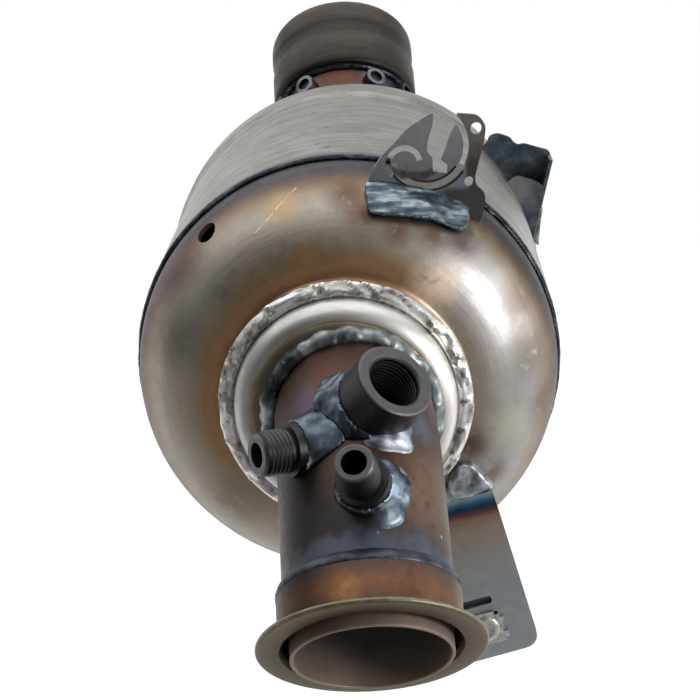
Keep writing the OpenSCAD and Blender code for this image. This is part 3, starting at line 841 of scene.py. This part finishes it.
def lumps(scale, deep, seed):
    def height(point):
        flow = noise.fractal(point * scale + Vector((seed, 0, 0)), 1.0, 2.1, 3)
        return 0.3 + deep * flow

    return height


# Settings


def colour_property(name, description, value):
    return bpy.props.FloatVectorProperty(
        name=name, description=description, default=value, size=4, min=0, max=1, subtype="COLOR"
    )


def number_property(name, description, value, unit="NONE"):
    return bpy.props.FloatProperty(name=name, description=description, default=value, unit=unit)


class FilterFinishSettings(bpy.types.PropertyGroup):
    bead_dark: colour_property("Bead shadow", "Darkest colour of the weld beads", tone(70, 75, 76))
    bead_mid: colour_property("Bead", "Main colour of the weld beads", tone(112, 118, 119))
    bead_glint: colour_property(
        "Bead glint", "Palest colour of the weld beads", tone(158, 164, 163)
    )
    port_dark: colour_property("Port", "Colour of the ports' sides", tone(60, 60, 60))
    port_face: colour_property("Port face", "Colour of the ports' end faces", tone(96, 96, 96))
    bead_relief: number_property(
        "Bead relief", "Height of the ripples on the weld beads", 0.00045, "LENGTH"
    )
    foil_relief: number_property("Foil relief", "Height of the folds in the foil", 0.0009, "LENGTH")


class FilterStageSettings(bpy.types.PropertyGroup):
    floor_drop: number_property("Floor drop", "Gap between the part and the floor", 0.3, "LENGTH")
    floor_tone: colour_property(
        "Floor", "Colour of the floor behind the part", (0.97, 0.97, 0.97, 1.0)
    )
    front_tone: colour_property(
        "Floor front", "Colour of the floor before the part", (0.3, 0.3, 0.3, 1.0)
    )
    key_power: number_property("Key light", "Power of the soft light at the right", 6.6, "POWER")
    fill_power: number_property("Fill light", "Power of the soft light at the left", 0.5, "POWER")
    side_power: number_property(
        "Side light", "Power of the wide light far to the right", 4.4, "POWER"
    )
    top_strength: number_property("Top light", "Strength of the light from above", 2.0)
    lens: number_property("Lens", "Focal length of the camera in millimetres", 92.571)


# Operators


class FILTER_OT_can(bpy.types.Operator):
    """Dress the can and the inlet dome in drawn steel"""

    bl_idname = "filter.can"
    bl_label = "Can"

    def execute(self, context):
        steel = can_finish()
        coat(steel, "can_shell", "inlet_dome")
        slope = [
            (77.9, -17.2), (78.35, -16.0), (78.75, -14.4), (79.2, -12.9), (79.47, -11.95),
            (78.4, -11.8), (77.9, -17.2),
        ]
        add_piece("inlet_rim_slope", lathe(INLET, slope, 256), steel, 40)
        return {"FINISHED"}


class FILTER_OT_dome(bpy.types.Operator):
    """Dress the outlet dome in heat-tinted steel"""

    bl_idname = "filter.dome"
    bl_label = "Outlet dome"

    def execute(self, context):
        coat(dome_finish(), "outlet_dome")
        return {"FINISHED"}


class FILTER_OT_foil(bpy.types.Operator):
    """Crumple the foil between the dome and the collar"""

    bl_idname = "filter.foil"
    bl_label = "Foil"

    def execute(self, context):
        deep = context.scene.filter_finish.foil_relief / MM
        leaves, crosses = 16, 11
        slow, steep = 0.8, 0.2
        profile = [
            (38.6, 40.6), (40.4, 43), (40.9, 45.3), (42.2, 45.5), (43.3, 45.7), (44.0, 46.2),
            (44.2, 46.9), (43.9, 47.6), (43.3, 48.1), (42.5, 48.5), (41.7, 48.9), (40.9, 49.1),
            (40.1, 49.1), (39.3, 48.8), (38.4, 47.8),
        ]

        def fold(angle, radius, height, k):
            weight = min(1.0, max(0.0, (k - 1) / 3), (len(profile) - 1 - k) / 2)
            around = Vector((math.cos(angle), math.sin(angle), 0.0))
            share = k / (len(profile) - 1)
            drift = noise.noise(around * 5)
            leaf = (angle / (2 * math.pi) * leaves + 2.2 * share + 0.9 * drift) % 1.0
            cross = (angle / (2 * math.pi) * crosses - 1.6 * share + 1.1 * drift) % 1.0
            flap = leaf / slow if leaf < slow else (1.0 - leaf) / steep
            back = cross / steep if cross < steep else (1.0 - cross) / slow
            wide = noise.noise(around * 6 + Vector((0, 0, k * 0.2)))
            lift = weight * (0.7 * (flap - 0.5) + 0.55 * (back - 0.5) + 0.35 * wide)
            # The lift and the seam distance are kept as dent and crease, for the painted shade in
            # the hollows and seams.
            dents.append(lift)
            seam = min(leaf, 1.0 - leaf, cross, 1.0 - cross) / 0.06
            gap = 2.2 * noise.noise(around * 9 + Vector((0, 0, k * 0.1)))
            creases.append(min(1.0, seam + max(0.0, gap)))
            lift *= deep * (0.45 if radius > 43.0 else 0.9)
            return radius + lift, height + 0.8 * lift

        dents, creases = [], []
        mesh = lathe(OUTLET, profile, 900, fold)
        for mark, values in (("dent", dents), ("crease", creases)):
            mesh.attributes.new(mark, "FLOAT", "POINT").data.foreach_set("value", values)
        add_piece("foil_ring", mesh, foil_finish(), 30, "outlet_foil")
        return {"FINISHED"}


class FILTER_OT_collar(bpy.types.Operator):
    """Dress the inner cone and its collar in satin steel"""

    bl_idname = "filter.collar"
    bl_label = "Collar"

    def execute(self, context):
        steel = collar_finish()
        coat(steel, "outlet_cone", "inlet_cone")
        centre, roll, rise, sunk, back = (25.5, 45.5), 13.0, 1.3, 0.4, 12.2
        start, end, steps = 6, 60, 24
        profile = []
        for k, (x, y) in enumerate(arc((0, 0), 1.0, start, end, steps)):
            reach = roll - sunk + (rise + sunk) * math.sin(math.pi * (k / steps)) ** 0.7
            profile.append((centre[0] + reach * x, centre[1] + reach * y))
        profile += arc(centre, back, end, start, steps // 4)
        profile.append(profile[0])
        add_piece("collar_bead", lathe(OUTLET, profile, 192), steel, 50)
        return {"FINISHED"}


class FILTER_OT_pipe(bpy.types.Operator):
    """Dress the elbow, flange and liner in heat-tinted steel"""

    bl_idname = "filter.pipe"
    bl_label = "Outlet pipe"

    def execute(self, context):
        coat(pipe_finish(), "outlet_elbow")
        coat(flange_finish(), "outlet_flange")
        coat(liner_finish(), "outlet_liner")
        return {"FINISHED"}


class FILTER_OT_ports(bpy.types.Operator):
    """Dress the sensor boss and the two pressure unions, and cut their threads"""

    bl_idname = "filter.ports"
    bl_label = "Ports"

    def thread(self, place, root, crest, low, high):
        """Ridges of a screw thread, sunk into the wall at both ends."""
        pitch, rows_per_turn = 1.5, 10
        rows = int((high - low) / pitch * rows_per_turn)
        profile = [(root, low + (high - low) * k / rows) for k in range(rows + 1)]

        def ridge(angle, radius, height, k):
            wave = abs(((height - pitch * angle / (2 * math.pi)) / pitch) % 1.0 * 2 - 1)
            fade = min(1.0, (height - low) / pitch, (high - height) / pitch)
            return root + (crest - root) * wave * fade, height

        return lathe(place, profile, 96, ridge)

    def execute(self, context):
        look = context.scene.filter_finish
        for node, name, place, face in (
            ("sensor_boss", "turned_boss_steel", BOSS, 14.9),
            ("pressure_union", "turned_union_steel", UNION, 15.9),
            ("pressure_stub", "turned_stub_steel", STUB, 21.9),
        ):
            coat(port_finish(name, place, face, look.port_dark, look.port_face), node)
        worn = port_finish("thread_steel", UNION, 60.0, tone(76, 77, 77), look.port_face)
        for name, place, root, crest, low, high in (
            ("union_thread", UNION, 6.94, 7.34, 5.4, 14.6),
            ("boss_thread", BOSS, 8.56, 8.1, 0.5, 13.6),
        ):
            ridges = self.thread(place, root, crest, low, high)
            add_piece(name, ridges, worn, 60)
        return {"FINISHED"}


class FILTER_OT_beads(bpy.types.Operator):
    """Turn the smooth weld solids into rippled beads"""

    bl_idname = "filter.beads"
    bl_label = "Weld beads"

    def execute(self, context):
        look = context.scene.filter_finish
        deep = look.bead_relief / MM
        bead = bead_finish(
            "weld_bead_steel", look.bead_dark, look.bead_mid, look.bead_glint, 0.14,
            (
                # Painted shade: the two dark spots darken the left side of the neck weld.
                ((-15, -318, -67), 9, (38, 41, 42)), ((-9.8, -317.4, -59), 8, (54, 58, 59)),
                ((-20.6, -312.9, -75.8), 5.5, (190, 194, 190)),
            ), soft=0.1,
        )
        rim = bead_finish("sooted_weld_steel", (34, 35, 38), (46, 47, 51), (70, 72, 76))
        seam = bead_finish("seam_weld_steel", (56, 60, 66), (64, 69, 76), (80, 85, 92), soft=0.12)
        ports = bead_finish(
            "port_weld_steel", (44, 48, 54), (66, 72, 80), (104, 114, 126), 0.12,
            (
                # Painted highlights: the palest spots, at (25, -364, -69.5), (22.5, -383, -85) and
                # (-3, -368, -75), are glints; painted shade: the dark spot at (-8, -366, -82).
                ((25, -364, -69.5), 7.5, (186, 196, 210)), ((22.5, -383, -85), 6, (170, 178, 188)),
                ((26, -380, -79), 7, (130, 144, 160)), ((3, -365, -68), 7, (92, 104, 118)),
                ((-3, -368, -75), 3, (214, 218, 224)), ((-8, -366, -82), 9, (48, 50, 52)),
            ),
        )
        bright = bead_finish(
            "bright_weld_steel", (56, 67, 75), (92, 105, 114), (160, 171, 178), 0.15,
            run=CLIP, soft=0.04,
        )
        pools = bead_finish(
            "weld_pool_steel", (72, 82, 92), (98, 108, 120), (146, 156, 167), 0.22,
            # Painted highlights: both spots are glints on the weld pools.
            (((25, -364, -69.5), 7, (206, 213, 222)), ((22.5, -384, -86), 5, (126, 136, 146))),
            soft=0.14,
        )
        heel = bead_finish(
            "plate_weld_steel", (124, 132, 138), (158, 166, 172), (200, 206, 210), 0.2,
            # Painted highlight: a white glint at the weld's right end.
            (((45, -294, -125), 5, (236, 239, 242)),),
        )
        plain = bead_finish("can_seam_steel", (138, 137, 132), (160, 159, 154), (182, 181, 176))
        # node, axis, ripples round it, voxel, share of the relief, swell, finish
        rings = (
            ("outlet_rim_weld", OUTLET, 150, 0.4, 0.25, 0.3, rim),
            ("neck_weld", BEND, 26, 0.4, 1.3, 1.1, bead),
            ("seam_weld", LEG, 40, 0.4, 0.12, 0.3, seam),
            ("sensor_boss_weld", BOSS, 14, 0.4, 0.9, 0.5, ports),
            ("pressure_union_weld", UNION, 12, 0.4, 0.5, 0.3, ports),
            ("pressure_stub_weld", STUB, 12, 0.4, 0.7, 0.4, ports),
            ("inlet_rim_weld", INLET, 150, 0.35, 0.1, 0.3, plain),
            ("inlet_neck_weld", NECK, 40, 0.45, 0.8, 0.3, bead),
            ("inlet_collar_weld", NECK, 50, 0.4, 0.4, 0.3, rim),
        )
        for seed, (node, place, count, voxel, share, swell, material) in enumerate(rings):
            mesh = soften(fine_copy(node, voxel), 3)
            knead(mesh, ripple(place, count, deep * share, seed * SEED_STEP, swell))
            add_piece(node + "_bead", soften(mesh, 3), material, 0, node)
        for node, deep_mm, material in (
            ("clip_bracket_weld", 0.9, bright), ("side_bracket_weld", 0.4, bead),
            ("support_plate_weld", 0.9, heel),
        ):
            mesh = knead(soften(fine_copy(node, 0.35), 8), lumps(0.12, deep_mm, 4.0))
            add_piece(node + "_bead", soften(mesh, 4), material, 0, node)
        for name, place, wide, long, high in (
            ("boss_run", on_bend(35.5, 18), 9.5, 7.2, 3.4),
            ("stub_run", on_leg(20.5, 12), 5.8, 6.6, 2.6),
            ("stub_side_run", on_leg(13, 21), 4.4, 8.0, 2.6),
        ):
            add_piece(name, puddle(place, wide, long, high, wide), pools, 0)
        return {"FINISHED"}


class FILTER_OT_brackets(bpy.types.Operator):
    """Dress the clip bracket, side bracket, support plate and caged nut"""

    bl_idname = "filter.brackets"
    bl_label = "Brackets"

    def execute(self, context):
        clip = clip_finish()
        coat(clip, "clip_bracket")
        shadow = mineral_finish("clip_pocket_shadow", (46, 42, 40), (58, 53, 50), 0.4)
        # Dark sheets under the two curved slots, in a shadow finish: they stand in for the shade
        # seen through the slots.
        for name, far, near, end in (
            ("clip_outer_groove_shadow", 15.75, 14.65, -142), ("clip_inner_groove_shadow", 12.55, 11.45, -118),
        ):
            outline = arc(CLIP_RING, far, -35, end) + arc(CLIP_RING, near, end, -35)
            add_piece(name, sheet(CLIP, outline, -1.2, -0.6), shadow, 30)
        # A plug over the ring's hole, in the clip's own finish, which the painted shade crescent
        # runs across.
        pocket = sheet(CLIP, arc((-5.8, 77.6), 2.2, 0, 345), -1.2, -0.15)
        add_piece("clip_pocket", pocket, clip, 30)
        coat(side_finish(), "side_bracket")
        plate = plate_finish()
        coat(plate, "support_plate")
        corner = [(30, -48.05), (38.95, -48.05), (38.95, -57), (30, -57)]
        slab = sheet(PLATE, corner, 39.75, 41.66)
        add_piece("plate_corner", slab, plate, 30)
        nickel = nut_finish()
        coat(nickel, "cage_nut")
        spot = PLATE @ shift(22, -99, 0)
        cage = [
            (-7, -6.3), (5.8, -6.3), (5.8, -5), (7.4, -5), (7.4, -2.6), (5.8, -2.6), (5.8, 1.2),
            (7, 1.2), (7, 3.2), (5.8, 3.2), (5.8, 4.6), (4.2, 4.6), (4.2, 6.2), (-7, 6.2),
        ]
        add_piece("nut_cage", sheet(spot, cage, 41.75, 42.85), nickel, 30)
        ring = [
            (2.7, 42.9), (2.7, 43.2), (3.1, 43.6), (4.2, 43.6), (4.7, 43.2), (4.8, 42.6),
            (2.7, 42.6), (2.7, 42.9),
        ]
        add_piece("nut_collar", lathe(spot, ring, 48), nickel, 40)
        leaf = [(-14.5, 14), (6.5, 14), (6.5, 7.6), (-14.5, 7.6)]
        add_piece("nut_leaf", sheet(spot, leaf, 38.6, 39.65), nickel, 30)
        return {"FINISHED"}


class FILTER_OT_inlet(bpy.types.Operator):
    """Dress the inlet neck and socket"""

    bl_idname = "filter.inlet"
    bl_label = "Inlet"

    def execute(self, context):
        coat(neck_finish(), "inlet_neck")
        profile = [
            (29.7, 86.0), (30.2, 85.2), (32.6, 85.0), (33.5, 85.6), (33.95, 87.0), (34.0, 90.0),
            (34.0, 96.0), (34.0, 102.0), (33.8, 103.0), (33.55, 104.0), (33.45, 105.5),
            (33.45, 108.5), (33.55, 110.0), (33.8, 111.0), (33.95, 112.0), (34.0, 116.0),
            (33.95, 118.6), (33.7, 120.4), (33.1, 122.0), (32.3, 123.2), (31.5, 123.8),
            (30.6, 123.95), (30.15, 123.7), (30.0, 123.0), (30.0, 108.2), (29.7, 108.0),
            (29.7, 86.0),
        ]
        mesh = lathe(NECK, profile, 192)
        add_piece("socket_skin", mesh, socket_finish(), 50, "inlet_collar")
        return {"FINISHED"}


class FILTER_OT_core(bpy.types.Operator):
    """Dress the filter brick, its mat and seals"""

    bl_idname = "filter.core"
    bl_label = "Core"

    def execute(self, context):
        coat(mineral_finish("porous_brick", (70, 68, 66), (104, 101, 98), 0.8), "filter_brick")
        coat(mineral_finish("fibre_mat", (188, 182, 168), (222, 217, 204), 0.5), "support_mat")
        seal = mineral_finish("mesh_seal", (96, 94, 90), (150, 148, 142), 0.9)
        coat(seal, "outlet_mat_seal", "inlet_mat_seal")
        return {"FINISHED"}


class FILTER_OT_stage(bpy.types.Operator):
    """Set the floor, lights and camera"""

    bl_idname = "filter.stage"
    bl_label = "Stage"

    def lamp(self, name, kind, place, **settings):
        """A light aimed at the part from an azimuth, an elevation and a distance."""
        light = bpy.data.lights.new(name, kind)
        for key, value in settings.items():
            setattr(light, key, value)
        middle = (Vector(CAD_BOX[0]) + Vector(CAD_BOX[1])) / 2
        a, e = math.radians(place[0]), math.radians(place[1])
        away = Vector((math.sin(a) * math.cos(e), -math.cos(a) * math.cos(e), math.sin(e)))
        lamp = new_object(name, light)
        lamp.location = middle + place[2] * away
        lamp.rotation_euler = away.to_track_quat("Z", "Y").to_euler()

    def floor(self, stage):
        level = CAD_BOX[0][2] - stage.floor_drop
        corners = [(x * FLOOR_HALF, y * FLOOR_HALF, level) for x, y in FLOOR_CORNERS]
        mesh = new_mesh(corners, [(0, 1, 2, 3)])
        floor = new_object("floor", mesh)
        f = Finish("pale_floor", 0.0)
        grain = f.noise(f.point, 60.0, 3)
        _, depth, _, _ = f.local(Matrix.Identity(4))
        f.colour = f.mix(f.span(depth, -700.0, 80.0), stage.front_tone, stage.floor_tone)
        f.shade(grain, 0.99, 1.01)
        f.dress((grain, 0.0, 1.0, 0.85, 0.95))
        mesh.materials.append(f.material)

    def sky(self, scene):
        """A pale room, dimmer overhead and behind the camera, most of all at its left."""
        world = bpy.data.worlds.new("studio")
        world.use_nodes = True
        scene.world = world
        w = Wiring(world.node_tree)
        toward = w.add("TexCoord").outputs["Generated"]
        axes = w.add("SeparateXYZ", toward).outputs
        left = w.span(w.vector("DOT_PRODUCT", toward, DIM_SIDE), 0.25, 0.9, 1.0, 0.2)
        front = w.span(axes["Y"], -0.8, 0.4, 0.7, 1.0)
        high = w.span(axes["Z"], 0.02, 0.32, 1.0, 0.55)
        background = w.tree.nodes["Background"]
        background.inputs[0].default_value = SKY_COLOUR
        w.put(background.inputs[1], w.times(w.times(left, front), high))

    def lights(self, stage):
        for name, place, wide, tall in AREA_LIGHTS:
            power = getattr(stage, name + "_power")
            self.lamp(name, "AREA", place, shape="RECTANGLE", size=wide, size_y=tall, energy=power)
        spread = math.radians(TOP_SPREAD)
        self.lamp("top", "SUN", TOP_PLACE, angle=spread, energy=stage.top_strength)

    def camera(self, scene, stage):
        camera = bpy.data.cameras.new("camera")
        camera.lens = stage.lens
        camera.sensor_width = SENSOR_WIDTH
        camera.clip_start = 0.01
        eye = new_object("camera", camera)
        axes = (CAMERA_RIGHT, CAMERA_UP, CAMERA_RIGHT.cross(CAMERA_UP))
        aim = Matrix(axes).transposed().to_4x4()
        eye.matrix_world = Matrix.Translation(CAMERA_PLACE) @ aim
        scene.camera = eye

    def execute(self, context):
        scene = context.scene
        stage = scene.filter_stage
        self.floor(stage)
        self.sky(scene)
        self.lights(stage)
        self.camera(scene, stage)
        scene.view_settings.view_transform = "Standard"
        return {"FINISHED"}


OPERATORS = (
    FILTER_OT_can, FILTER_OT_dome, FILTER_OT_foil, FILTER_OT_collar, FILTER_OT_pipe,
    FILTER_OT_ports, FILTER_OT_beads, FILTER_OT_brackets, FILTER_OT_inlet, FILTER_OT_core,
    FILTER_OT_stage,
)


class FILTER_PT_panel(bpy.types.Panel):
    """Lists the pieces of the filter"""

    bl_idname = "FILTER_PT_panel"
    bl_label = "Exhaust filter"
    bl_space_type = "VIEW_3D"
    bl_region_type = "UI"
    bl_category = "Filter"

    def draw(self, context):
        for settings in (context.scene.filter_finish, context.scene.filter_stage):
            for name in settings.__annotations__:
                self.layout.prop(settings, name)
        for operator in OPERATORS:
            self.layout.operator(operator.bl_idname)


CLASSES = (FilterFinishSettings, FilterStageSettings, *OPERATORS, FILTER_PT_panel)


def register():
    for cls in CLASSES:
        bpy.utils.register_class(cls)
    bpy.types.Scene.filter_finish = bpy.props.PointerProperty(type=FilterFinishSettings)
    bpy.types.Scene.filter_stage = bpy.props.PointerProperty(type=FilterStageSettings)


def unregister():
    del bpy.types.Scene.filter_stage
    del bpy.types.Scene.filter_finish
    for cls in reversed(CLASSES):
        bpy.utils.unregister_class(cls)


def main():
    register()
    for operator in OPERATORS:
        group, name = operator.bl_idname.split(".")
        getattr(getattr(bpy.ops, group), name)()


if __name__ == "__main__":
    main()
